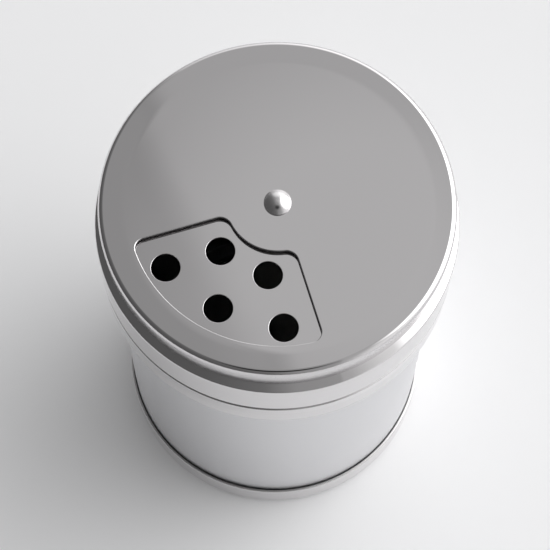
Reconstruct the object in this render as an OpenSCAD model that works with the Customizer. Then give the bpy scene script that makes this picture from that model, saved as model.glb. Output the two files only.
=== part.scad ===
// Spice shaker of pressed stainless steel: a straight tube in a base cap, a push-on lid whose
// raised top is the sieve, and a turning cover with one window, held by a domed rivet.
// The Z axis is the shaker's axis, and Z = 0 is the table. The window faces the front left.

/* [Overall] */
// Height from the table to the flat top of the turning cover
overall_h = 99; // [85:1:125]
// Direction in which the window and the coarse holes face, in degrees from +X
window_dir = -117.2; // [-180:0.1:180]

/* [Tube] */
// Outer diameter of the tube
tube_d = 63; // [54:0.5:76]
// Sheet thickness of the tube
tube_t = 0.6; // [0.5:0.05:0.8]
// Outer radius of the curl that makes the tube's mouth safe
mouth_curl_r = 0.9; // [0.8:0.05:1.2]

/* [Base cap] */
// Height of the base cap's wall, which shows as a band at the foot
base_wall_h = 8.4; // [6:0.1:12]
// Sheet thickness of the base cap
base_t = 0.6; // [0.5:0.05:0.8]
// Outside bend radius between the base cap's floor and wall
base_bend_r = 1.6; // [1.2:0.1:2.2]
// Width of the flat ring that the shaker stands on
foot_ring_w = 2; // [1.5:0.1:3]
// How far the middle of the floor is pressed up from the table
floor_rise = 1.8; // [1:0.1:3]
// Inside radius of the two bends between the standing ring and the raised floor
floor_bend_r = 1.6; // [1.3:0.1:2.2]

/* [Lid cap] */
// Height of the lid's skirt, from the ledge under the cover to the lower edge
skirt_h = 19.6; // [17:0.1:24]
// Sheet thickness of the lid
lid_t = 0.6; // [0.5:0.05:0.7]
// Outside radius of the shoulder between the ledge and the skirt
shoulder_r = 1.7; // [1.4:0.1:2]
// Outside bend radius round the edge of the sieve
sieve_edge_r = 1; // [0.9:0.1:1.4]
// Radius of the inside corner between the raised sieve and the ledge
ledge_corner_r = 0.4; // [0.3:0.05:0.5]
// Height of the rolled crease below the ledge
crease_drop = 11.6; // [9:0.1:13]
// Width of the rolled crease
crease_w = 1.4; // [1:0.1:2]
// Depth of the rolled crease
crease_depth = 0.25; // [0.15:0.05:0.4]
// How much narrower the skirt's radius is at its lower band, below the crease
band_in = 0.15; // [0.05:0.05:0.3]
// Height of the slope from the crease's lower edge to the band
band_slope_h = 2.7; // [2:0.1:4]
// Height of the hem folded up inside the skirt's lower edge
hem_h = 4.5; // [3:0.1:6]

/* [Sieve holes] */
// Diameter of the coarse holes
coarse_d = 5.4; // [4:0.1:6]
// Sheet seen between the window's inner edge and the two inner coarse holes
coarse_inner_land = 1.7; // [0.8:0.1:2]
// Angle from the middle of the group to each inner coarse hole
coarse_inner_turn = 20.9; // [18:0.1:26]
// Sheet seen between the window's outer edge and the two side holes
coarse_side_land = 1.1; // [0.8:0.1:2]
// Angle from the middle of the group to each side hole
coarse_side_turn = 30.8; // [26:0.1:33]
// Sheet seen between the window's outer edge and the outer middle hole
coarse_middle_land = 2.1; // [0.8:0.1:3]
// Diameter of the fine holes, which the window meets after half a turn
fine_d = 2.2; // [1.5:0.1:2.6]
// Least distance from the middle of a fine hole to the window's edges
fine_margin = 3; // [2:0.1:3.5]
// Distance from one row of fine holes to the next
fine_row_step = 5; // [4:0.5:5]
// Distance between neighbouring holes in a row
fine_pitch = 7; // [5:0.5:7]

/* [Turning cover] */
// Sheet thickness of the turning cover
cover_t = 0.6; // [0.5:0.05:0.8]
// Outside bend radius at the cover's edge
cover_edge_r = 1; // [0.9:0.1:1.6]
// Height of the cover's turned-down wall, from its top to its lower edge
cover_wall_h = 6; // [4:0.1:7]
// Width of the cover's hub, from the edge of the spacer washer to the window
window_hub_w = 4.5; // [3:0.1:5.5]
// Width of the cover's rim, from the window to the outside
window_rim_w = 5.6; // [5.3:0.1:7]
// Angle between the window's two straight edges
window_angle = 90; // [80:0.5:100]
// How far each straight edge lies outside the line from the axis
window_edge_out = 0.45; // [0:0.05:0.6]
// Radius of the window's outer corners
window_out_corner = 2; // [1:0.1:3]
// Radius of the window's inner corners
window_in_corner = 2.4; // [0.8:0.1:2.6]

/* [Lid liner] */
// Thickness of the liner's wall between the tube and the skirt, with its beads
liner_t = 2.1; // [1.8:0.05:2.6]
// Thickness of the liner's flange, which the tube's mouth closes against
liner_flange_t = 1.2; // [0.8:0.1:1.6]
// Width of the flange, inwards from the outside of the tube
liner_flange_w = 1.4; // [1:0.1:2]
// Height of the two round beads inside the liner, which are what touches the tube
liner_bead_h = 0.25; // [0.15:0.05:0.4]
// Width of a bead
liner_bead_w = 1.6; // [1.2:0.1:2]
// Distance of the beads from the two ends of the liner's wall
liner_bead_in = 2.2; // [1.6:0.1:2.6]
// Lead-in at the liner's lower edge
liner_lead = 0.5; // [0.3:0.1:0.8]

/* [Pivot] */
// Diameter of the rivet's shank
shank_d = 3.2; // [2.5:0.1:4]
// Diameter of the rivet's domed head
head_d = 5.1; // [4.8:0.1:7]
// Height of the rivet's domed head
head_h = 1.3; // [0.9:0.1:1.8]
// Height of the small upright edge round the head
head_rim = 0.25; // [0.1:0.05:0.4]
// Thickness of the spacer washer between the sieve and the cover
spacer_t = 0.6; // [0.4:0.1:1.2]
// Diameter of the spacer washer
spacer_d = 10; // [8:0.5:14]
// Diameter of the cup spring washer
spring_d = 8.4; // [7:0.1:12]
// Sheet thickness of the cup spring washer
spring_t = 0.3; // [0.2:0.05:0.4]
// How far the cup spring washer rises from its middle to its edge
spring_rise = 0.6; // [0.4:0.1:1]
// Diameter of the flat washer under the spring
tail_washer_d = 7.2; // [6.5:0.1:9]
// Thickness of the flat washer under the spring
tail_washer_t = 0.5; // [0.4:0.1:1]
// Diameter of the rivet's closed tail
tail_d = 5.2; // [4.8:0.1:6.4]
// Height of the rivet's closed tail
tail_h = 0.9; // [0.7:0.1:1.4]

/* [Clearances] */
// Gap between the cover's wall and the raised sieve
turn_gap = 0.5; // [0.3:0.05:0.6]
// Gap between the cover's lower edge and the lid's ledge
ledge_gap = 0.9; // [0.5:0.1:1.5]
// Radial clearance of the rivet's shank in its holes
shank_fit = 0.05; // [0.02:0.01:0.08]
// Gap between the rivet's head and the cover
head_gap = 0.05; // [0.02:0.01:0.1]
// Radial clearance of the tube in the liner's beads
slide_fit = 0.08; // [0.05:0.01:0.1]
// Gap between the tube's mouth and the liner's flange
mouth_gap = 0.1; // [0.05:0.05:0.3]
// Radial clearance of the tube in the base cap
base_fit = 0.02; // [0.01:0.01:0.05]
// Gap between the liner and the lid
liner_gap = 0.05; // [0.02:0.01:0.1]

/* [Hidden] */
$fn = 96;

// Flat stretches in each bend of a sheet section, and degrees between points of the window's arcs
bend_steps = 10;
window_step = 2.5;
// A cut runs this far past the sheet that it goes through
over_cut = 1;

polished = [0.80, 0.80, 0.81];
satin = [0.70, 0.70, 0.71];
plastic = [0.92, 0.92, 0.90];

tube_r = tube_d / 2;
shank_r = shank_d / 2;
bore_r = shank_r + shank_fit;

// Heights of the stack, from the cover down
cover_under = overall_h - cover_t;
sieve_top = cover_under - spacer_t;
sieve_under = sieve_top - lid_t;
spring_under = sieve_under - spring_rise - spring_t;
tail_washer_under = spring_under - tail_washer_t;
cover_low = overall_h - cover_wall_h;
ledge_z = cover_low - ledge_gap;
lid_low = ledge_z - skirt_h;
crease_z = ledge_z - crease_drop;

// Radii from the tube outwards to the skirt, and back inwards to the sieve and its cover
liner_in_r = tube_r + slide_fit;
liner_out_r = liner_in_r + liner_t;
skirt_in_r = liner_out_r + liner_gap;
lid_r = skirt_in_r + lid_t;
shoulder_at = [lid_r - shoulder_r, ledge_z - shoulder_r];
sieve_r = shoulder_at[0] - ledge_corner_r;
cover_r = sieve_r + turn_gap + cover_t;

// Radii of the window, and of the holes that it uncovers
window_in_r = spacer_d / 2 + window_hub_w;
window_out_r = cover_r - window_rim_w;
coarse_inner_at = window_in_r + coarse_inner_land + coarse_d / 2;
coarse_side_at = window_out_r - coarse_side_land - coarse_d / 2;
coarse_middle_at = window_out_r - coarse_middle_land - coarse_d / 2;
fine_first_at = window_in_r + fine_margin;
fine_rows = floor((window_out_r - fine_margin - fine_first_at) / fine_row_step) + 1;

// The liner fills the shoulder from inside and ends above the crease
liner_round = shoulder_r - lid_t - liner_gap;
liner_top = ledge_z - lid_t - liner_gap;
flange_under = liner_top - liner_flange_t;
mouth_z = flange_under - mouth_gap;

// The crease is an arc cut into the skirt, and its inner side bulges by the sheet's thickness.
// Below it the skirt slopes in to a slightly narrower band, which ends in the hem
crease_r = (crease_w * crease_w / 4 + crease_depth * crease_depth) / (2 * crease_depth);
crease_at = [lid_r + crease_r - crease_depth, crease_z];
crease_turn = asin(crease_w / 2 / crease_r);
crease_in_turn = acos((crease_r - crease_depth + lid_t) / (crease_r + lid_t));
band_r = lid_r - band_in;
band_z = crease_z - crease_w / 2 - band_slope_h;
liner_low = crease_z + (crease_r + lid_t) * sin(crease_in_turn) + liner_gap;

// Points of an arc about a centre, as [distance from the axis, height]
function arc(centre, r, from, to, steps = bend_steps) =
    [for (i = [0:steps]) let (a = from + (to - from) * i / steps) centre + r * [cos(a), sin(a)]];

// Turns a list of section points into a ring about the axis
module turned(points) {
    rotate_extrude() polygon(points);
}

module flat_washer(d, top, thickness) {
    difference() {
        translate([0, 0, top - thickness]) cylinder(d = d, h = thickness);
        translate([0, 0, top - thickness - over_cut]) cylinder(r = bore_r, h = thickness + 2 * over_cut);
    }
}

// Straight tube with a curl rolled inwards round its mouth
module jar_tube() {
    curl_at = [tube_r - mouth_curl_r, mouth_z - mouth_curl_r];
    color(satin) turned(concat(
        [[tube_r - tube_t, base_bend_r], [tube_r, base_bend_r]],
        arc(curl_at, mouth_curl_r, 0, 270),
        arc(curl_at, mouth_curl_r - tube_t, 270, 0)
    ));
}

// Shallow pan pressed over the tube's lower end, with its floor drawn up inside the standing ring.
// Two equal and opposite bends carry the sheet from the ring up to the floor
module base_cap() {
    wall_r = tube_r + base_fit + base_t;
    wall_bend_at = [wall_r - base_bend_r, base_bend_r];
    bend_sum = 2 * floor_bend_r + base_t;
    bend_turn = acos(1 - floor_rise / bend_sum);
    low_bend_at = [wall_bend_at[0] - foot_ring_w, base_t + floor_bend_r];
    high_bend_at = [low_bend_at[0] - bend_sum * sin(bend_turn), floor_rise - floor_bend_r];
    color(polished) turned(concat(
        [[0, floor_rise]],
        arc(high_bend_at, floor_bend_r, 90, 90 - bend_turn),
        arc(low_bend_at, floor_bend_r + base_t, 270 - bend_turn, 270),
        arc(wall_bend_at, base_bend_r, -90, 0),
        [[wall_r, base_wall_h], [wall_r - base_t, base_wall_h]],
        arc(wall_bend_at, base_bend_r - base_t, 0, -90),
        arc(low_bend_at, floor_bend_r, 270, 270 - bend_turn),
        arc(high_bend_at, floor_bend_r + base_t, 90 - bend_turn, 90),
        [[0, floor_rise + base_t]]
    ));
}

// Section of the lid: raised sieve, ledge, shoulder, skirt with its crease, and hem
function lid_section() = let (
    edge_at = [sieve_r - sieve_edge_r, sieve_top - sieve_edge_r],
    corner_at = [sieve_r + ledge_corner_r, ledge_z + ledge_corner_r],
    hem_at = [band_r - lid_t, lid_low + lid_t]
) concat(
    [[bore_r, sieve_top]],
    arc(edge_at, sieve_edge_r, 90, 0),
    arc(corner_at, ledge_corner_r, 180, 270),
    arc(shoulder_at, shoulder_r, 90, 0),
    arc(crease_at, crease_r, 180 - crease_turn, 180 + crease_turn),
    [[band_r, band_z]],
    arc(hem_at, lid_t, 0, -180),
    [[band_r - 2 * lid_t, lid_low + hem_h], [band_r - lid_t, lid_low + hem_h], [band_r - lid_t, band_z]],
    arc(crease_at, crease_r + lid_t, 180 + crease_in_turn, 180 - crease_in_turn),
    arc(shoulder_at, shoulder_r - lid_t, 0, 90),
    arc(corner_at, ledge_corner_r + lid_t, 270, 180),
    arc(edge_at, sieve_edge_r - lid_t, 0, 90),
    [[bore_r, sieve_under]]
);

// A hole through the sieve at a turn from the middle of its group
module sieve_hole(group_dir, at, turn, d) {
    rotate(group_dir + turn)
        translate([at, 0, sieve_under - over_cut])
            cylinder(d = d, h = lid_t + 2 * over_cut, $fn = 48);
}

module coarse_holes() {
    sieve_hole(window_dir, coarse_middle_at, 0, coarse_d);
    for (side = [-1, 1]) {
        sieve_hole(window_dir, coarse_inner_at, side * coarse_inner_turn, coarse_d);
        sieve_hole(window_dir, coarse_side_at, side * coarse_side_turn, coarse_d);
    }
}

// Rows of fine holes, each as long as the window uncovers at that distance from the axis
module fine_holes() {
    for (row = [0:fine_rows - 1]) {
        at = fine_first_at + row * fine_row_step;
        turn_step = fine_pitch / at * 180 / PI;
        steps = floor((window_angle - 2 * asin((fine_margin - window_edge_out) / at)) / turn_step);
        for (i = [0:steps]) {
            sieve_hole(window_dir + 180, at, (i - steps / 2) * turn_step, fine_d);
        }
    }
}

module lid_cap() {
    color(polished) difference() {
        turned(lid_section());
        coarse_holes();
        fine_holes();
    }
}

// Plastic ring that fills the lid's skirt. Two beads grip the tube, and the flange seals its mouth
module lid_liner() {
    wall_r = liner_in_r + liner_bead_h;
    bead_r = (liner_bead_w * liner_bead_w / 4 + liner_bead_h * liner_bead_h) / (2 * liner_bead_h);
    bead_turn = asin(liner_bead_w / 2 / bead_r);
    bead_x = liner_in_r + bead_r;
    color(plastic) turned(concat(
        [[wall_r + liner_lead, liner_low], [wall_r, liner_low + liner_lead]],
        arc([bead_x, liner_low + liner_bead_in], bead_r, 180 + bead_turn, 180 - bead_turn),
        arc([bead_x, flange_under - liner_bead_in], bead_r, 180 + bead_turn, 180 - bead_turn),
        [[wall_r, flange_under], [tube_r - liner_flange_w, flange_under], [tube_r - liner_flange_w, liner_top]],
        arc(shoulder_at, liner_round, 90, 0),
        [[liner_out_r, liner_low]]
    ));
}

// Ring sector with rounded corners. Its straight edges lie a little outside lines from the axis, and
// each corner arc is tangent to a straight edge and a round one
function window_outline() = let (
    half = window_angle / 2,
    out_at = window_out_r - window_out_corner,
    in_at = window_in_r + window_in_corner,
    out_turn = half - asin((window_out_corner - window_edge_out) / out_at),
    in_turn = half - asin((window_in_corner - window_edge_out) / in_at),
    out_steps = ceil(2 * out_turn / window_step),
    in_steps = ceil(2 * in_turn / window_step)
) concat(
    arc([0, 0], window_out_r, -out_turn, out_turn, out_steps),
    arc(out_at * [cos(out_turn), sin(out_turn)], window_out_corner, out_turn, half + 90),
    arc(in_at * [cos(in_turn), sin(in_turn)], window_in_corner, half + 90, in_turn + 180),
    arc([0, 0], window_in_r, in_turn, -in_turn, in_steps),
    arc(in_at * [cos(in_turn), -sin(in_turn)], window_in_corner, 180 - in_turn, 270 - half),
    arc(out_at * [cos(out_turn), -sin(out_turn)], window_out_corner, -half - 90, -out_turn)
);

// Flat disc with a turned-down wall and one window, free to turn on the rivet
module turning_cover() {
    edge_at = [cover_r - cover_edge_r, overall_h - cover_edge_r];
    color(polished) difference() {
        turned(concat(
            [[bore_r, overall_h]],
            arc(edge_at, cover_edge_r, 90, 0),
            [[cover_r, cover_low], [cover_r - cover_t, cover_low]],
            arc(edge_at, cover_edge_r - cover_t, 0, 90),
            [[bore_r, cover_under]]
        ));
        rotate(window_dir)
            translate([0, 0, cover_under - over_cut])
                linear_extrude(cover_t + 2 * over_cut) polygon(window_outline());
    }
}

// Domed head, plain shank and closed tail, as one turned piece
module pivot_rivet() {
    head_low = overall_h + head_gap;
    head_r = head_d / 2;
    dome_h = head_h - head_rim;
    dome_r = (head_r * head_r + dome_h * dome_h) / (2 * dome_h);
    dome_at = [0, head_low + head_h - dome_r];
    tail_r = tail_d / 2;
    tail_low = tail_washer_under - tail_h;
    tail_round = tail_h / 2;
    color(polished) turned(concat(
        [[0, tail_low]],
        arc([tail_r - tail_round, tail_low + tail_round], tail_round, -90, 0),
        [[tail_r, tail_washer_under], [shank_r, tail_washer_under], [shank_r, head_low], [head_r, head_low]],
        arc(dome_at, dome_r, asin((dome_r - dome_h) / dome_r), 90)
    ));
}

module spacer_washer() {
    color(plastic) flat_washer(spacer_d, cover_under, spacer_t);
}

// Shallow cone that presses up under the sieve with its edge and down on the flat washer
module cup_spring_washer() {
    edge_r = spring_d / 2;
    color(satin) turned([
        [bore_r, spring_under], [edge_r, spring_under + spring_rise],
        [edge_r, sieve_under], [bore_r, spring_under + spring_t]
    ]);
}

module tail_washer() {
    color(satin) flat_washer(tail_washer_d, spring_under, tail_washer_t);
}

jar_tube();
base_cap();
lid_cap();
lid_liner();
turning_cover();
pivot_rivet();
spacer_washer();
cup_spring_washer();
tail_washer();
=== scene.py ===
# %% [markdown]
# # A steel spice shaker with a turning cover
# The shaker is four pressed or drawn pieces of stainless sheet, a rivet, a plastic ring and three washers.
# The CAD model says where each piece is and how it moves. This lesson gives the pieces their looks: rolled
# and bent edges that catch the light, polished and satin steel, and the studio that the steel mirrors.
# Lengths in the lesson are in millimetres until a mesh is made, because that is how a sheet part is drawn.

# %% Load the frame
import math
import bpy
import numpy as np
from mathutils import Matrix, Vector
from mathutils.geometry import delaunay_2d_cdt


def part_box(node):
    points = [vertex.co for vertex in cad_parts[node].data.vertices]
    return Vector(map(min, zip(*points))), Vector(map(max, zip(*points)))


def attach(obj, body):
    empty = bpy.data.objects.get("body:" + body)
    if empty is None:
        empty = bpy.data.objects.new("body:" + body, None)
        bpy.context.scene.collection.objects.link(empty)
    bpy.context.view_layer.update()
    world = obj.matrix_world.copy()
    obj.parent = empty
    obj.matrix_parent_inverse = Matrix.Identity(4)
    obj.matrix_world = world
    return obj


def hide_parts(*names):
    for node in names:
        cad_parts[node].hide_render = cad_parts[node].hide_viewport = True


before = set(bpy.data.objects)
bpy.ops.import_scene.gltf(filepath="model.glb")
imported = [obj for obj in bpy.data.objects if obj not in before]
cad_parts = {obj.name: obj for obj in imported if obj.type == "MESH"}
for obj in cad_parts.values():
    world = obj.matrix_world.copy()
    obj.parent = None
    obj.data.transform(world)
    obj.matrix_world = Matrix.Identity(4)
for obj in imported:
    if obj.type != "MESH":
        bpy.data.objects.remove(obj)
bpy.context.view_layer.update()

MM = 1000.0
print("nodes:", sorted(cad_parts))


# %% [markdown]
# ## Sizes
# Every piece is drawn again round the CAD node that it stands for, so its outer sizes are read from that
# node's box. What a box can't say, such as a bend's radius or the sheet's thickness, is given by name.

# %% Read the outer sizes from the nodes
def outside(node):
    """Radius, lowest and highest level of a round node in millimetres: half its box's width, and its ends."""
    low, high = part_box(node)
    return (high.x - low.x) / 2 * MM, low.z * MM, high.z * MM


tube_r, tube_low, mouth_z = outside("jar_tube")
pan_r, _, pan_top = outside("base_cap")
lid_r, lid_low, sieve_top = outside("lid_cap")
cover_r, cover_low, cover_top = outside("turning_cover")
liner_r, liner_low, liner_top = outside("lid_liner")
_, tail_low, head_top = outside("pivot_rivet")
print(f"tube {tube_r:.2f}, lid {lid_r:.2f}, cover {cover_r:.2f}, cover top {cover_top:.2f} mm")

# %% Give the sizes that the boxes don't show
sheet = 0.6
bore_r = 1.65
cut_edge = 0.12
sieve_under = sieve_top - sheet
cover_under = cover_top - sheet
print(f"gap between sieve and cover {cover_under - sieve_top:.2f} mm")


# %% [markdown]
# ## Sections of bent sheet
# A pressed part is one section turned about an axis. The section could be made from many short lines and
# smoothed, but steel shows every kink as a jump in its reflection. So each corner is a true arc, and the
# arc gives the exact normal with each point. The normals go into the mesh, and the reflections run on as
# they do over a real bend.

# %% Round the corners of a section
def rounded(corners, steps=6):
    """Points and outward normals of a closed section that runs counterclockwise. A corner is (distance from
    the axis, height, bend radius). The heading turns evenly from one side's to the next one's. The normal
    is the heading turned a quarter to the right. Each point lies one radius from the arc's centre along
    that normal, and the centre is found from where the arc touches the first side."""
    corners = np.array(corners, float)
    at, radius = corners[:, :2], corners[:, 2]
    side = np.roll(at, -1, 0) - at
    heading = np.arctan2(side[:, 1], side[:, 0])
    before = np.roll(heading, 1)
    turn = (heading - before + np.pi) % (2 * np.pi) - np.pi
    reach = radius * np.tan(np.abs(turn) / 2)
    start = at - reach[:, None] * np.stack([np.cos(before), np.sin(before)], 1)
    angle = before[:, None] + turn[:, None] * np.linspace(0, 1, steps)
    normal = np.stack([np.sin(angle), -np.cos(angle)], 2)
    bend = (np.where(turn < 0, -1.0, 1.0) * radius)[:, None]
    centre = start - bend * normal[:, 0]
    points = centre[:, None] + bend[:, :, None] * normal
    return points, normal


# %% Cut a grid into triangles
def grid(points, normals, without=()):
    """Triangles of a grid whose last column joins its first. Each cell between two rows and two columns is
    cut in two. The cells after the rows named in without are left open."""
    rows, columns = points.shape[:2]
    row = np.setdiff1d(np.arange(rows - 1), without)
    row, column = np.meshgrid(row, np.arange(columns), indexing="ij")
    a = (row * columns + column).ravel()
    b = (row * columns + (column + 1) % columns).ravel()
    halves = np.stack([a, b, b + columns], 1), np.stack([a, b + columns, a + columns], 1)
    return points.reshape(-1, 3), normals.reshape(-1, 3), np.concatenate(halves)


# %% Turn a section about the axis
TURNS = 360
around = np.arange(TURNS) * 2 * np.pi / TURNS


def turned(corners, axis_ends=False, open_sides=()):
    """Surface of revolution: a section point (r, z) goes to (r cos t, r sin t, z) for each turn t, and its
    normal turns with it. With axis_ends the section starts and ends on the axis, and the side on the axis
    is left out. open_sides names the corners after which a flat side is left open for a plate."""
    points, normals = rounded(corners)
    steps = points.shape[1]
    without = [(corner + 1) * steps - 1 for corner in open_sides]
    points, normals = points.reshape(-1, 2), normals.reshape(-1, 2)
    if axis_ends:
        points, normals = points[steps - 1:1 - steps], normals[steps - 1:1 - steps]
    else:
        points, normals = np.vstack([points, points[:1]]), np.vstack([normals, normals[:1]])

    def spin(flat):
        """Rows of the section at every turn."""
        r, z = flat[:, :1], flat[:, 1:]
        return np.stack([r * np.cos(around), r * np.sin(around), z + 0 * around], 2)

    return grid(spin(points), spin(normals), without)


# %% [markdown]
# ## Plates with holes
# The sieve and the cover are flat plates with holes. A boolean would leave torn shading round each hole.
# Here the flat face is filled between its outlines by a constrained triangulation, and each hole gets its
# own edge as a punch leaves it: a small round lip at the top, a short wall and a lip at the bottom.

# %% Fill a flat face between outlines
def circle(centre, radius, turns=TURNS):
    """Points of a circle and the directions away from its centre."""
    t = np.arange(turns) * 2 * np.pi / turns
    away = np.stack([np.cos(t), np.sin(t)], 1)
    return np.asarray(centre) + radius * away, away


def inside(points, outline):
    """Which points lie inside a closed outline: a line to the right crosses it an odd number of times."""
    a, b = outline, np.roll(outline, -1, 0)
    x, y = points[:, :1], points[:, 1:]
    rise = np.where(a[:, 1] == b[:, 1], 1.0, b[:, 1] - a[:, 1])
    crossing_x = a[:, 0] + (y - a[:, 1]) * (b[:, 0] - a[:, 0]) / rise
    return (((a[:, 1] > y) != (b[:, 1] > y)) & (x < crossing_x)).sum(1) % 2 == 1


def plate(outlines, z, facing):
    """Flat face at height z inside the first outline and outside the others, facing up (1) or down (-1).
    The triangulation fills the holes too, so triangles with their middle in a hole are left out."""
    flat = np.concatenate(outlines)
    starts = np.cumsum([0] + [len(o) for o in outlines])
    edges = np.concatenate([
        np.stack([np.arange(a, b), np.roll(np.arange(a, b), -1)], 1) for a, b in zip(starts, starts[1:])
    ])
    found = delaunay_2d_cdt([Vector(p) for p in flat.tolist()], edges.tolist(), [], 2, 1e-6)
    origin = np.array([ids[0] for ids in found[3]])
    corners = origin[np.array(found[2])]
    middle = flat[corners].mean(1)
    kept = np.logical_and.reduce([inside(middle, outlines[0])] + [~inside(middle, o) for o in outlines[1:]])
    points = np.column_stack([flat, np.full(len(flat), z)])
    return points, np.tile([0.0, 0.0, facing], (len(flat), 1)), corners[kept]


# %% Give a hole its edge
def hole_edge(outline, away, top, low, top_lip, low_lip, steps=6):
    """Edge of a punched hole. A lip's centre lies one lip radius from the outline, into the sheet and below
    its face. The normal swings from straight up to level, towards the hole, and on to straight down."""
    swing = np.linspace(0, np.pi / 2, steps)
    up = np.concatenate([np.cos(swing), -np.sin(swing)])[:, None]
    level = np.concatenate([np.sin(swing), np.cos(swing)])[:, None]
    lip = np.repeat([top_lip, low_lip], steps)[:, None]
    height = np.repeat([top - top_lip, low + low_lip], steps)[:, None]
    into = (lip - lip * level)[:, :, None] * away
    flat = outline + into
    points = np.dstack([flat, height + lip * up + np.zeros(len(outline))])
    normals = np.dstack([-level[:, :, None] * away, up + np.zeros(len(outline))])
    return grid(points, normals)


# %% [markdown]
# ## From arrays to a piece
# One function makes every mesh. It joins the surfaces where their points meet, turns each triangle to face
# the way its normals point, and hands the exact normals to Blender. It also counts the open edges.

# %% Join surfaces
def joined(parts):
    """One skin of several surfaces. Points closer than a ten-thousandth of a millimetre become one, and
    triangles that this leaves without area go. One whose normal disagrees with its corners' normals is
    turned over."""
    counts = np.cumsum([0] + [len(points) for points, _, _ in parts])
    points = np.concatenate([points for points, _, _ in parts])
    normals = np.concatenate([normals for _, normals, _ in parts])
    corners = np.concatenate([faces + start for (_, _, faces), start in zip(parts, counts)])
    _, chosen, kept = np.unique(np.round(points, 4), axis=0, return_index=True, return_inverse=True)
    points, normals, corners = points[chosen], normals[chosen], kept.reshape(-1)[corners]
    corners = corners[(corners != np.roll(corners, 1, 1)).all(1)]
    first, second, third = points[corners].transpose(1, 0, 2)
    across = np.cross(second - first, third - first)
    wrong = (across * normals[corners].sum(1)).sum(1) < 0
    corners[wrong] = corners[wrong][:, ::-1]
    return points, normals, corners


# %% Make a piece
def piece(name, parts, body, node, materials, which=None):
    """Mesh of several surfaces that stands for a CAD node. which gives the number of a face's material from
    the outward and upward shares of its normal and its distance from the axis. An edge that only one
    triangle uses is open."""
    points, normals, corners = joined(parts)
    edges = np.sort(np.stack([corners, np.roll(corners, -1, 1)], 2).reshape(-1, 2), 1)
    _, uses = np.unique(edges, axis=0, return_counts=True)
    mesh = bpy.data.meshes.new(name)
    mesh.from_pydata((points / MM).tolist(), [], corners.tolist())
    mesh.polygons.foreach_set("use_smooth", np.ones(len(corners), bool))
    for material in materials:
        mesh.materials.append(material)
    if which:
        centre = points[corners].mean(1)
        distance = np.maximum(np.hypot(centre[:, 0], centre[:, 1]), 1e-9)
        share = normals[corners].sum(1)
        share /= np.linalg.norm(share, axis=1)[:, None]
        outward = (share[:, :2] * centre[:, :2]).sum(1) / distance
        numbers = np.asarray(which(outward, share[:, 2], distance), np.int32)
        mesh.polygons.foreach_set("material_index", numbers)
    mesh.update()
    mesh.normals_split_custom_set_from_vertices(normals.tolist())
    made = bpy.data.objects.new(name, mesh)
    bpy.context.scene.collection.objects.link(made)
    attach(made, body)
    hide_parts(node)
    print(f"{name}: {len(corners)} triangles, {np.sum(uses != 2)} open edges")
    return made


# %% [markdown]
# ## Materials
# Steel has almost no colour of its own: it shows the room. What tells one finish from another is how sharp
# the mirror is and how the surface waves. Colours are given as sRGB hex, and one function turns them to
# linear. A noise's scale is how many of its waves go into a metre, so waves of 18 mm have a scale of 55. Its
# values mostly stay between three and seven tenths, so that part is spread over each finish's range.

# %% Colours and nodes
def linear(hex_colour):
    """Linear RGBA of an sRGB hex colour: a channel c becomes ((c + 0.055) / 1.055) to the power 2.4, or
    c / 12.92 near black."""
    c = np.array([int(hex_colour[i:i + 2], 16) for i in (1, 3, 5)]) / 255
    return (*np.where(c > 0.04045, ((c + 0.055) / 1.055) ** 2.4, c / 12.92).tolist(), 1.0)


def add(tree, kind, settings=None, **inputs):
    """Adds a node. settings are its own options. An input is named by its label, or as i0, i1 or i2 by its
    place, and takes a value or another node's output socket."""
    node = tree.nodes.new(kind)
    for key, value in (settings or {}).items():
        setattr(node, key, value)
    for key, value in inputs.items():
        socket = node.inputs[int(key[1:]) if key[0] == "i" and key[1:].isdigit() else key.replace("_", " ")]
        if isinstance(value, bpy.types.NodeSocket):
            tree.links.new(value, socket)
        else:
            socket.default_value = value
    return node


def new_material(name):
    """Empty node material: returns it with its tree, its shader and its Object coordinates."""
    material = bpy.data.materials.new(name)
    material.use_nodes = True
    tree = material.node_tree
    return material, tree, tree.nodes["Principled BSDF"], add(tree, "ShaderNodeTexCoord").outputs["Object"]


NOISE_LOW, NOISE_HIGH = 0.3, 0.7

# %% [markdown]
# ### Polished stainless sheet
# Mirror-polished 304 steel reflects about seven tenths of the light, hardly warmer than grey. The sheet is
# never quite flat, so the mirror swims a little, and handling leaves patches that are a shade less sharp.
# Pressing leaves fine upright marks on the cover's wall, which smear the room into streaks there. The rivet
# is tumbled, not buffed, so its highlight is softer. Each finish is given its roughness and the height of its
# waves in millimetres.

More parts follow.
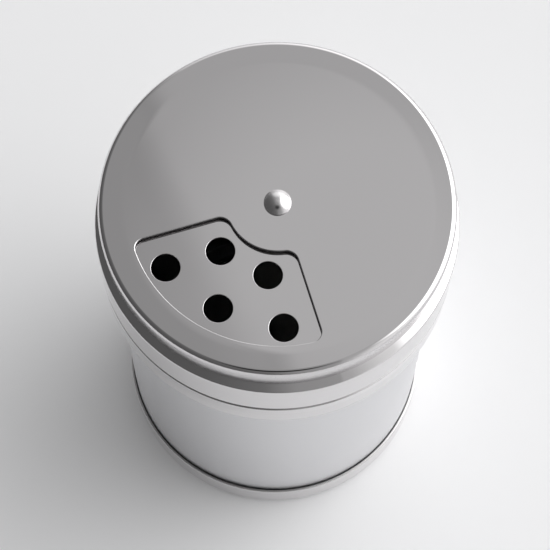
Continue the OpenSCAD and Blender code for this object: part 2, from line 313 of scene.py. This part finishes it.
# %% Polished steel
def polished_steel(name, roughness, wave_height, mark_height=0.0, duller=0.0):
    """Waves of 18 mm in the sheet and patches of 9 mm in its gloss. A mark_height adds press marks every
    0.7 mm round the cover's wall. They fade in beyond the flat, where the steel gets duller as well."""
    least, most = 0.85, 1.2
    marks_from, marks_full = cover_r - 0.6, cover_r - 0.05
    material, tree, shader, place = new_material(name)
    shader.inputs["Base Color"].default_value = linear("#DBD9DA")
    shader.inputs["Metallic"].default_value = 1.0
    patches = add(tree, "ShaderNodeTexNoise", Vector=place, Scale=110.0, Detail=2.0)
    gloss = add(tree, "ShaderNodeMapRange", Value=patches.outputs["Fac"], From_Min=NOISE_LOW,
                From_Max=NOISE_HIGH, To_Min=roughness * least, To_Max=roughness * most).outputs["Result"]
    waves = add(tree, "ShaderNodeTexNoise", Vector=place, Scale=55.0, Detail=0.0)
    bump = add(tree, "ShaderNodeBump", Height=waves.outputs["Fac"], Strength=1.0, Distance=wave_height / MM)
    if mark_height:
        squeezed = add(tree, "ShaderNodeMapping", Vector=place, Scale=(1.0, 1.0, 0.04))
        marks = add(tree, "ShaderNodeTexNoise", Vector=squeezed.outputs["Vector"], Scale=1400.0, Detail=0.0)
        level = add(tree, "ShaderNodeVectorMath", {"operation": "MULTIPLY"}, i0=place, i1=(1.0, 1.0, 0.0))
        distance = add(tree, "ShaderNodeVectorMath", {"operation": "LENGTH"}, i0=level.outputs["Vector"])
        on_wall = add(tree, "ShaderNodeMapRange", Value=distance.outputs["Value"],
                      From_Min=marks_from / MM, From_Max=marks_full / MM, To_Min=0.0, To_Max=1.0)
        height = add(tree, "ShaderNodeMath", {"operation": "MULTIPLY"},
                     i0=marks.outputs["Fac"], i1=on_wall.outputs["Result"])
        bump = add(tree, "ShaderNodeBump", Height=height.outputs["Value"], Strength=1.0,
                   Distance=mark_height / MM, Normal=bump.outputs["Normal"])
        gloss = add(tree, "ShaderNodeMath", {"operation": "MULTIPLY_ADD"},
                    i0=on_wall.outputs["Result"], i1=duller, i2=gloss).outputs["Value"]
    tree.links.new(gloss, shader.inputs["Roughness"])
    tree.links.new(bump.outputs["Normal"], shader.inputs["Normal"])
    return material


lid_steel = polished_steel("polished_stainless_sheet", 0.06, 0.006)
cover_steel = polished_steel("polished_stainless_cover", 0.045, 0.006, mark_height=0.012, duller=0.16)
pan_steel = polished_steel("polished_stainless_base", 0.07, 0.006)
rivet_steel = polished_steel("polished_rivet_steel", 0.2, 0.02)
print("polished steel:", lid_steel.name, cover_steel.name, pan_steel.name, rivet_steel.name)

# %% [markdown]
# ### Satin stainless tube
# The jar was turned against a fine abrasive belt. Its lines run round it and are about 0.05 mm wide, too
# fine to see from arm's length, where they only spread the reflection. They are drawn 0.35 mm wide so that
# they just show. The insides of all pieces keep the dull skin of the rolling mill. It shows the room as soft
# shades, and coarser lines do for its grain.

# %% Satin steel
def satin_steel(name, colour, roughness, swing, line_height):
    """Lines 0.35 mm wide that run round the axis, because the noise is stretched that way. swing is how far
    the roughness goes up and down, and line_height is in millimetres."""
    material, tree, shader, place = new_material(name)
    shader.inputs["Base Color"].default_value = linear(colour)
    shader.inputs["Metallic"].default_value = 1.0
    squeezed = add(tree, "ShaderNodeMapping", Vector=place, Scale=(0.03, 0.03, 1.0))
    lines = add(tree, "ShaderNodeTexNoise", Vector=squeezed.outputs["Vector"], Scale=2800.0, Detail=2.0)
    gloss = add(tree, "ShaderNodeMapRange", Value=lines.outputs["Fac"], From_Min=NOISE_LOW,
                From_Max=NOISE_HIGH, To_Min=roughness - swing, To_Max=roughness + swing)
    tree.links.new(gloss.outputs["Result"], shader.inputs["Roughness"])
    bump = add(tree, "ShaderNodeBump", Height=lines.outputs["Fac"], Strength=1.0, Distance=line_height / MM)
    tree.links.new(bump.outputs["Normal"], shader.inputs["Normal"])
    return material


tube_steel = satin_steel("satin_stainless_tube", "#D9D9DB", 0.31, 0.004, 0.00001)
inner_steel = satin_steel("rolled_stainless_inside", "#CFCECE", 0.36, 0.02, 0.0015)
print("satin steel:", tube_steel.name, inner_steel.name)

# %% [markdown]
# ### Cut edge
# A press tears the last part of a sheet's thickness, so the window's edge is dull between its lips. Its
# colour is also made far darker than steel's, as painted shade for the gap under the cover.

# %% Cut edge
# The dark base colour is painted shade for the gap under the cover, on a dull torn edge.
cut_steel_painted_shade = satin_steel("torn_edge_painted_shade", "#6F6E70", 0.5, 0.03, 0.001)
print("cut edge:", cut_steel_painted_shade.name)

# %% [markdown]
# ### Natural polypropylene
# The liner and the spacer are moulded in uncoloured polypropylene: milky, slightly warm, and softly glossy
# where the mould was polished. A faint mottle in colour and gloss is all that one sees.

# %% Liner plastic
def liner_plastic():
    """Mottle of 4 mm in colour and gloss, and a moulded skin of 0.4 mm in the bump."""
    material, tree, shader, place = new_material("natural_polypropylene")
    shader.inputs["IOR"].default_value = 1.49
    shader.inputs["Subsurface Weight"].default_value = 0.15
    shader.inputs["Subsurface Radius"].default_value = (0.002, 0.0018, 0.0015)
    mottle = add(tree, "ShaderNodeTexNoise", Vector=place, Scale=250.0, Detail=2.0)
    milk = add(tree, "ShaderNodeValToRGB", Fac=mottle.outputs["Fac"])
    milk.color_ramp.elements[0].color = linear("#E4E2DA")
    milk.color_ramp.elements[1].color = linear("#F0EFEA")
    tree.links.new(milk.outputs["Color"], shader.inputs["Base Color"])
    gloss = add(tree, "ShaderNodeMapRange", Value=mottle.outputs["Fac"], To_Min=0.38, To_Max=0.5)
    tree.links.new(gloss.outputs["Result"], shader.inputs["Roughness"])
    skin = add(tree, "ShaderNodeTexNoise", Vector=place, Scale=2500.0, Detail=1.0)
    bump = add(tree, "ShaderNodeBump", Height=skin.outputs["Fac"], Strength=1.0, Distance=0.002 / MM)
    tree.links.new(bump.outputs["Normal"], shader.inputs["Normal"])
    return material


plastic = liner_plastic()
print("plastic:", plastic.name)

# %% [markdown]
# ### The three washers
# The CAD model's washers are right as they are, and hardly anything of them shows. They get a finish only.

# %% Finish the washers
for node, material in {
    "spacer_washer": plastic, "cup_spring_washer": inner_steel, "tail_washer": inner_steel,
}.items():
    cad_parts[node].data.materials.clear()
    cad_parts[node].data.materials.append(material)
    print(f"{node}: {material.name}")

# %% [markdown]
# ## The jar's tube
# A straight drawn tube. Its mouth is curled inwards through three quarters of a circle, so no cut edge
# meets a finger or a spoon. The curl is three corners of the same radius. Just above the base the tube is
# necked in a little by a very wide bend, which draws the soft dark line round the foot.

# %% Tube
curl_r = 0.9
curl_cut = 0.1
tube_in_r = tube_r - sheet
curl_end_r = tube_r - curl_r + curl_cut
curl_hollow = curl_r - sheet
neck_in = 0.12
neck_z = pan_top - 0.2
neck_corner_z = pan_top + 5.0
neck_bend = 420.0
neck_low_bend = 0.2
tube_section = [
    (tube_r - neck_in, tube_low, cut_edge),
    (tube_r - neck_in, neck_z, neck_low_bend),
    (tube_r, neck_corner_z, neck_bend),
    (tube_r, mouth_z, curl_r),
    (tube_r - 2 * curl_r, mouth_z, curl_r),
    (tube_r - 2 * curl_r, mouth_z - 2 * curl_r, curl_r),
    (curl_end_r, mouth_z - 2 * curl_r, curl_cut),
    (curl_end_r, mouth_z - 2 * curl_r + sheet, curl_cut),
    (tube_in_r - 2 * curl_hollow, mouth_z - 2 * curl_r + sheet, curl_hollow),
    (tube_in_r - 2 * curl_hollow, mouth_z - sheet, curl_hollow),
    (tube_in_r, mouth_z - sheet, curl_hollow),
    (tube_in_r, neck_corner_z, neck_bend),
    (tube_in_r - neck_in, neck_z, neck_low_bend),
    (tube_in_r - neck_in, tube_low, cut_edge),
]
print(f"tube necked in from {tube_r:.2f} to {tube_r - neck_in:.2f} mm over the base")
piece("tube_shell", [turned(tube_section)], "jar", "jar_tube", [tube_steel, inner_steel],
      lambda outward, upward, distance: outward < -0.2)

# %% [markdown]
# ## The base
# A shallow pan is pressed over the tube's foot. It stands on a narrow ring, and inside the ring the floor
# is drawn up by two equal and opposite bends, which keep it off the table and stiffen it. Its rim is
# rounded over.

# %% Base pan
pan_bend = 1.6
rim_round = 0.28
ring_width = 2.0
floor_rise = 1.8
floor_bend = 1.6
bend_sum = 2 * floor_bend + sheet
bend_turn = math.acos(1 - floor_rise / bend_sum)
per_radius = math.tan(bend_turn / 2)
ring_in = pan_r - pan_bend - ring_width
floor_edge = ring_in - bend_sum * math.sin(bend_turn)
pan_section = [
    (0, floor_rise, 0),
    (floor_edge + floor_bend * per_radius, floor_rise, floor_bend),
    (ring_in - (floor_bend + sheet) * per_radius, 0, floor_bend + sheet),
    (pan_r, 0, pan_bend),
    (pan_r, pan_top, rim_round),
    (pan_r - sheet, pan_top, rim_round),
    (pan_r - sheet, sheet, pan_bend - sheet),
    (ring_in - floor_bend * per_radius, sheet, floor_bend),
    (floor_edge + (floor_bend + sheet) * per_radius, floor_rise + sheet, floor_bend + sheet),
    (0, floor_rise + sheet, 0),
]
piece("base_pan", [turned(pan_section, axis_ends=True)], "jar", "base_cap",
      [pan_steel, inner_steel], lambda outward, upward, distance: outward - upward < -0.3)

# %% [markdown]
# ## The lid
# One sheet makes the whole lid. From the middle out it is the raised sieve, a ledge under the cover's edge,
# a shoulder that slopes by 30 degrees and a skirt. The skirt has a rolled crease, a band below it that is
# drawn in a little, and a hem folded up inside.

# %% Lid section
ledge_z = 92.1
sieve_edge = 1.0
ledge_wide = 2.1
ledge_corner = 0.1
slope_in_r = 32.45
slope_low = 91.0
slope_bend = 0.45
slope_foot = 0.3
shoulder_inside = 1.1
crease_z = 80.5
crease_half = 0.68
crease_angle = math.radians(45)
crease_deep = crease_half * math.tan(crease_angle)
crease_bend = 0.28
crease_lip = 0.2
crease_inner_lip = 0.1
band_r = lid_r - 0.15
band_z = 77.1
band_bend = 1.0
hem_top = 77.0
hem_corner = 0.05
bore_lip = 0.1
sieve_r = lid_r - ledge_wide
skirt_in_r = lid_r - sheet
crease_shift = sheet * math.tan(crease_angle / 2)
lid_section = [
    (bore_r, sieve_under, bore_lip),
    (sieve_r - sheet, sieve_under, sieve_edge - sheet),
    (sieve_r - sheet, ledge_z - sheet, ledge_corner + sheet),
    (skirt_in_r, ledge_z - sheet, shoulder_inside),
    (skirt_in_r, crease_z + crease_half + crease_shift, crease_inner_lip),
    (skirt_in_r - crease_deep - sheet / math.cos(crease_angle) + sheet, crease_z, crease_bend + sheet),
    (skirt_in_r, crease_z - crease_half - crease_shift, crease_inner_lip),
    (band_r - sheet, band_z, band_bend),
    (band_r - sheet, hem_top, hem_corner),
    (band_r - 2 * sheet, hem_top, cut_edge),
    (band_r - 2 * sheet, lid_low, sheet),
    (band_r, lid_low, sheet),
    (band_r, band_z, band_bend),
    (lid_r, crease_z - crease_half, crease_lip),
    (lid_r - crease_deep, crease_z, crease_bend),
    (lid_r, crease_z + crease_half, crease_lip),
    (lid_r, slope_low, slope_bend),
    (slope_in_r, ledge_z, slope_foot),
    (sieve_r, ledge_z, ledge_corner),
    (sieve_r, sieve_top, sieve_edge),
    (bore_r, sieve_top, bore_lip),
]
sieve_flat_r = sieve_r - sieve_edge
print(f"sieve {sieve_r:.2f} mm, flat to {sieve_flat_r:.2f} mm")

# %% [markdown]
# Five coarse holes sit under the window. Fine holes in rows wait half a turn round, where the window meets
# them. Their places follow from the window's own outline, so they are worked out first.

# %% Places of the sieve's holes
window_dir = math.radians(-117.2)
window_in_r = 9.5
window_rim = 5.6
window_out_r = cover_r - window_rim
coarse_r = 2.7
inner_pair = {"from_edge": 1.7, "turn": 20.9}
outer_pair = {"from_edge": 1.1, "turn": 30.8}
middle_from_edge = 2.1
fine_r = 1.1
fine_pitch = 7.0
fine_rows = [(12.5, 3), (17.5, 4), (22.5, 5)]


def holes_at(direction, distance, turns, radius):
    """Holes of one radius at one distance from the axis, at turns in degrees from the group's direction."""
    angle = direction + np.radians(turns)
    return [(distance * math.cos(a), distance * math.sin(a), radius) for a in angle]


inner_at = window_in_r + inner_pair["from_edge"] + coarse_r
outer_at = window_out_r - outer_pair["from_edge"] - coarse_r
middle_at = window_out_r - middle_from_edge - coarse_r
sieve_holes = holes_at(window_dir, inner_at, [-inner_pair["turn"], inner_pair["turn"]], coarse_r)
sieve_holes += holes_at(window_dir, outer_at, [-outer_pair["turn"], outer_pair["turn"]], coarse_r)
sieve_holes += holes_at(window_dir, middle_at, [0], coarse_r)
for distance, count in fine_rows:
    turn_step = math.degrees(fine_pitch / distance)
    turns = (np.arange(count) - (count - 1) / 2) * turn_step
    sieve_holes += holes_at(window_dir + math.pi, distance, turns, fine_r)
print(len(sieve_holes), "holes in the sieve")

# %% Lid
lid_lip = 0.09
lid_low_lip = 0.08
hole_turns = 64
lid_parts = [turned(lid_section, open_sides=(0, len(lid_section) - 2))]
for z, lip, facing in ((sieve_top, lid_lip, 1.0), (sieve_under, lid_low_lip, -1.0)):
    outlines = [circle((0, 0), sieve_flat_r)[0], circle((0, 0), bore_r + bore_lip)[0]]
    outlines += [circle((x, y), r + lip, hole_turns)[0] for x, y, r in sieve_holes]
    lid_parts.append(plate(outlines, z, facing))
for x, y, r in sieve_holes:
    hole = circle((x, y), r, hole_turns)
    lid_parts.append(hole_edge(*hole, sieve_top, sieve_under, lid_lip, lid_low_lip))
piece("lid_shell", lid_parts, "lid", "lid_cap", [lid_steel, inner_steel],
      lambda outward, upward, distance: outward + upward < -0.3)

# %% [markdown]
# ## The turning cover
# A disc with a turned-down wall. Pressing the wall pulls the face down by nearly a tenth of a millimetre at
# the rim, which is enough to bend the reflection there, and the wall draws in a little downwards. The
# window is a quarter of a ring with round corners, and its straight edges lie a little outside lines from
# the axis.

# %% Window outline
def arc(centre, radius, start, stop, steps, side=1.0):
    """Points of an arc and the directions into the sheet: from the centre, or towards it for side -1."""
    t = np.linspace(start, stop, steps)
    away = np.stack([np.cos(t), np.sin(t)], 1)
    return np.asarray(centre) + radius * away, side * away


def window_outline(out_corner=2.0, in_corner=2.4, edge_out=0.45, half=math.pi / 4):
    """Six arcs that touch end to end: the outer edge, two outer corners, two inner corners and the inner
    edge. A corner's centre lies its radius inside the straight edge and inside or outside the round one."""
    out_at, in_at = window_out_r - out_corner, window_in_r + in_corner
    out_turn = half - math.asin((out_corner - edge_out) / out_at)
    in_turn = half - math.asin((in_corner - edge_out) / in_at)

    def corner(distance, turn):
        """Centre of a round corner, from its distance and its turn about the axis."""
        return distance * math.cos(turn), distance * math.sin(turn)

    quarter = math.pi / 2
    wide, narrow, small = 91, 61, 21
    arcs = [
        arc((0, 0), window_out_r, -out_turn, out_turn, wide),
        arc(corner(out_at, out_turn), out_corner, out_turn, half + quarter, small),
        arc(corner(in_at, in_turn), in_corner, half + quarter, in_turn + 2 * quarter, small),
        arc((0, 0), window_in_r, in_turn, -in_turn, narrow, -1.0),
        arc(corner(in_at, -in_turn), in_corner, 2 * quarter - in_turn, 3 * quarter - half, small),
        arc(corner(out_at, -out_turn), out_corner, -half - quarter, -out_turn, small),
    ]
    c, s = math.cos(window_dir), math.sin(window_dir)
    turn = np.array([[c, s], [-s, c]])
    shared_end = (1, 0, 0, 1, 0, 0)
    outline, into = (
        np.concatenate([a[k][:-1] if shared else a[k] for a, shared in zip(arcs, shared_end)]) for k in (0, 1)
    )
    return outline @ turn, into @ turn


# %% Cover
cover_edge = 1.1
wall_taper = 0.2
rim_fall = 0.09
fall_from = 28.9
fall_bend = 60.0
cover_section = [
    (bore_r, cover_under, cut_edge),
    (cover_r - sheet, cover_under, cover_edge - sheet),
    (cover_r - sheet - wall_taper, cover_low, cut_edge),
    (cover_r - wall_taper, cover_low, cut_edge),
    (cover_r, cover_top - rim_fall, cover_edge),
    (fall_from, cover_top, fall_bend),
    (bore_r, cover_top, cut_edge),
]
window, into_sheet = window_outline()
window_lip = 0.14
window_low_lip = 0.05
under_corner, face_corner = 1, 5
cover_points = rounded(cover_section)[0]
cover_parts = [turned(cover_section, open_sides=(0, face_corner))]
for z, lip, facing, edge in ((cover_top, window_lip, 1.0, cover_points[face_corner, -1, 0]),
                             (cover_under, window_low_lip, -1.0, cover_points[under_corner, 0, 0])):
    outlines = [circle((0, 0), edge)[0], circle((0, 0), bore_r + cut_edge)[0], window + lip * into_sheet]
    cover_parts.append(plate(outlines, z, facing))
cover_parts.append(hole_edge(window, into_sheet, cover_top, cover_under, window_lip, window_low_lip))


def cover_finish(outward, upward, distance):
    """2, the cut edge, dark with painted shade, where a face stands upright no farther out than the window, 1
    where it looks down, and 0 elsewhere."""
    torn = (np.abs(upward) < 0.2) & (distance < window_out_r + 1)
    return np.where(torn, 2, upward < -0.3)


piece("cover_disc", cover_parts, "cover", "turning_cover",
      [cover_steel, inner_steel, cut_steel_painted_shade], cover_finish)

# %% [markdown]
# ## The rivet
# A domed head, a plain shank and a tail closed against its washer, all upset from one wire.

# %% Rivet
head_r = 2.55
head_low = head_top - 1.3
rim_top = head_low + 0.25
rim_bend = 0.3
dome_corner = 1.488
dome_bend = 3.3
tail_r = 2.6
tail_h = 0.9
shank_r = 1.6
small_bend = 0.1
rivet_section = [
    (0, tail_low, 0),
    (tail_r, tail_low, tail_h / 2),
    (tail_r, tail_low + tail_h, small_bend),
    (shank_r, tail_low + tail_h, small_bend),
    (shank_r, head_low, small_bend),
    (head_r, head_low, small_bend),
    (head_r, rim_top, rim_bend),
    (dome_corner, head_top, dome_bend),
    (0, head_top, 0),
]
piece("rivet_turned", [turned(rivet_section, axis_ends=True)], "lid", "pivot_rivet",
      [rivet_steel])

# %% [markdown]
# ## The liner
# A moulded ring fills the skirt. Two round beads grip the tube, and a flange closes on its mouth.

# %% Liner
liner_in_r = tube_r + 0.33
flange_in_r = tube_r - 1.4
flange_under = liner_top - 1.2
bead_half = 0.8
bead_angle = math.radians(30)
bead_deep = bead_half * math.tan(bead_angle)
bead_bend = 1.37
bead_foot = 0.4
bead_from_end = 2.2
mould_edge = 0.2
lead_in = 0.5
low_edge = 0.15
shoulder_bend = 1.05
flange_foot = 0.1


def bead(z):
    """Three corners of a round bead inside the ring."""
    return [
        (liner_in_r, z + bead_half, bead_foot),
        (liner_in_r - bead_deep, z, bead_bend),
        (liner_in_r, z - bead_half, bead_foot),
    ]


liner_section = [
    (liner_r, liner_low, low_edge),
    (liner_r, liner_top, shoulder_bend),
    (flange_in_r, liner_top, mould_edge),
    (flange_in_r, flange_under, mould_edge),
    (liner_in_r, flange_under, flange_foot),
    *bead(flange_under - bead_from_end),
    *bead(liner_low + bead_from_end),
    (liner_in_r, liner_low + lead_in, mould_edge),
    (liner_in_r + lead_in, liner_low, mould_edge),
]
piece("liner_ring", [turned(liner_section)], "lid", "lid_liner", [plastic])

# %% [markdown]
# ## The studio
# Polished steel is a picture of the room, so the room is drawn with care, and everything in it depends only
# on direction. The walls are dark at the left and in front and lighter at the right. Overhead, where the
# flat cover looks, a thin dark line and a step to a lighter tone make the edge of a curtain, and a pale card
# hangs beside it. One wide window lights the shaker from the right, and a weak light low at the back draws
# a line along the far edges. The dark camera hangs over the shaker, and the steel shows it too.

# %% World
def towards(turn, rise):
    """Direction at a turn from the +X axis and a rise above the table, both in degrees."""
    turn, rise = math.radians(turn), math.radians(rise)
    return Vector((math.cos(rise) * math.cos(turn), math.cos(rise) * math.sin(turn), math.sin(rise)))


def within(degrees):
    """Cosine at the edge of a round patch of sky whose radius is given in degrees."""
    return math.cos(math.radians(degrees))


world = bpy.data.worlds.new("studio_room")
bpy.context.scene.world = world
world.use_nodes = True
room = world.node_tree
looking = add(room, "ShaderNodeTexCoord").outputs["Generated"]


def glow(direction, edge, level, start=0.0, full=1.0):
    """Level that rises evenly from start to level as the cosine of the angle from a direction rises from
    edge to full."""
    cosine = add(room, "ShaderNodeVectorMath", {"operation": "DOT_PRODUCT"}, i0=looking, i1=direction)
    return add(room, "ShaderNodeMapRange", Value=cosine.outputs["Value"], From_Min=edge, From_Max=full,
               To_Min=start, To_Max=level).outputs["Result"]


def shade(direction, levels, peak):
    """Level from a list of cosines and levels, along the cosine of the angle from a direction. The ramp
    holds each level as a share of the peak."""
    ramp = add(room, "ShaderNodeValToRGB", Fac=glow(direction, -1.0, 1.0))
    stops = ramp.color_ramp.elements
    while len(stops) < len(levels):
        stops.new(0.5)
    for stop, (cosine, _) in zip(stops, levels):
        stop.position = (cosine + 1) / 2
    for stop, (_, level) in zip(stops, levels):
        stop.color = (level / peak,) * 3 + (1.0,)
    scaled = add(room, "ShaderNodeMath", {"operation": "MULTIPLY"}, i0=ramp.outputs["Color"], i1=peak)
    return scaled.outputs["Value"]


# %% Shades and lights of the room
wall_levels = [
    (-1.0, 0.07), (-0.6, 0.09), (-0.3, 0.15), (-0.12, 0.30), (0.0, 0.32), (0.2, 0.36),
    (0.4, 0.7), (0.7, 1.0), (1.0, 1.0),
]
curtain_levels = [
    (-1.0, 0.03), (-0.012, 0.035), (-0.006, 0.0), (-0.0035, 0.0), (0.005, 0.14), (1.0, 0.14),
]
walls = shade((0.956, 0.292, -0.064), wall_levels, 1.0)
curtain = shade((0.897, 0.426, -0.124), curtain_levels, 0.14)
card = glow(towards(83, 70), within(6.6), 0.1, 0.0, within(3.5))
window_at = towards(21, 38)
window_light = glow(window_at, 0.77, 3.15)
back_light = glow(towards(85, 24), 0.85, 0.7)
light = walls
for source in (curtain, card, window_light, back_light):
    light = add(room, "ShaderNodeMath", {"operation": "ADD"}, i0=light, i1=source).outputs["Value"]
room.links.new(light, room.nodes["Background"].inputs["Color"])
camera_shade = glow(towards(270, 69), within(17), 0.08, 1.0, within(8))
room.links.new(camera_shade, room.nodes["Background"].inputs["Strength"])
print(f"room of {len(room.nodes)} nodes, window light from {window_at}")

# %% [markdown]
# The floor is a plain pale sheet, large enough to reach the edge of every view. It is not quite even: a
# faint tone varies over some 17 centimetres, as on painted board. A camera's tone curve lifts the shadow on
# a pale floor. So an eighth of what the camera and the steel see of the floor is a tone that no shadow
# changes.

# %% Floor
floor_material, floor_tree, floor_shader, floor_place = new_material("pale_board")
tone = add(floor_tree, "ShaderNodeTexNoise", Vector=floor_place, Scale=6.0, Detail=1.0)
tones = add(floor_tree, "ShaderNodeValToRGB", Fac=tone.outputs["Fac"])
tones.color_ramp.elements[0].color = linear("#F0F0F1")
tones.color_ramp.elements[1].color = linear("#F4F4F5")
floor_tree.links.new(tones.outputs["Color"], floor_shader.inputs["Base Color"])
floor_shader.inputs["Roughness"].default_value = 0.6
floor_shader.inputs["Specular IOR Level"].default_value = 0.3
path = add(floor_tree, "ShaderNodeLightPath")
seen = path.outputs["Is Camera Ray"]
for ray in ("Is Glossy Ray", "Is Transmission Ray"):
    seen = add(floor_tree, "ShaderNodeMath", {"operation": "MAXIMUM"}, i0=seen,
               i1=path.outputs[ray]).outputs["Value"]
own_share = 0.13
share = add(floor_tree, "ShaderNodeMath", {"operation": "MULTIPLY"}, i0=seen, i1=own_share)
own_tone = add(floor_tree, "ShaderNodeEmission", Color=linear("#E7E7E8"))
mixed = add(floor_tree, "ShaderNodeMixShader", Fac=share.outputs["Value"], i1=floor_shader.outputs["BSDF"],
            i2=own_tone.outputs["Emission"])
floor_tree.links.new(mixed.outputs["Shader"], floor_tree.nodes["Material Output"].inputs["Surface"])
floor_gap = 0.02
rings = np.array([0.0, 100.0, 400.0, 1500.0, 6000.0, 24000.0])[:, None]
floor_z = np.full((len(rings), TURNS), -floor_gap)
floor_points = np.dstack([rings * np.cos(around), rings * np.sin(around), floor_z])
floor_points, _, floor_faces = joined([grid(floor_points, np.ones_like(floor_points) * [0, 0, 1])])
floor_mesh = bpy.data.meshes.new("table_top")
floor_mesh.from_pydata((floor_points / MM).tolist(), [], floor_faces.tolist())
floor_mesh.materials.append(floor_material)
floor = bpy.data.objects.new("table_top", floor_mesh)
bpy.context.scene.collection.objects.link(floor)
print(f"floor {2 * rings.max() / MM:.0f} m across, {len(floor_faces)} triangles")

# %% [markdown]
# ## Camera
# The camera looks down at about 70 degrees from nearly half a metre, with a long lens. Its place, its tilt
# and the lens were found by matching the circles of the cover, the lid and the foot.

# %% Camera
focal_pixels, picture_pixels = 2150, 550
looks_down, roll_degrees = 70.17, 0.99
stands_at = (-0.00024, -0.14715, 0.46773)
camera_data = bpy.data.cameras.new("camera")
camera_data.sensor_width = 36.0
camera_data.lens = 36.0 * focal_pixels / picture_pixels
camera = bpy.data.objects.new("camera", camera_data)
tilt = Matrix.Rotation(math.radians(90 - looks_down), 4, "X")
roll = Matrix.Rotation(math.radians(roll_degrees), 4, "Z")
camera.matrix_world = Matrix.Translation(stands_at) @ tilt @ roll
bpy.context.scene.collection.objects.link(camera)
bpy.context.scene.camera = camera
bpy.context.scene.view_settings.view_transform = "Standard"
print(f"camera {math.dist(stands_at, (0, 0, 0)):.2f} m away, lens {camera_data.lens:.1f} mm")
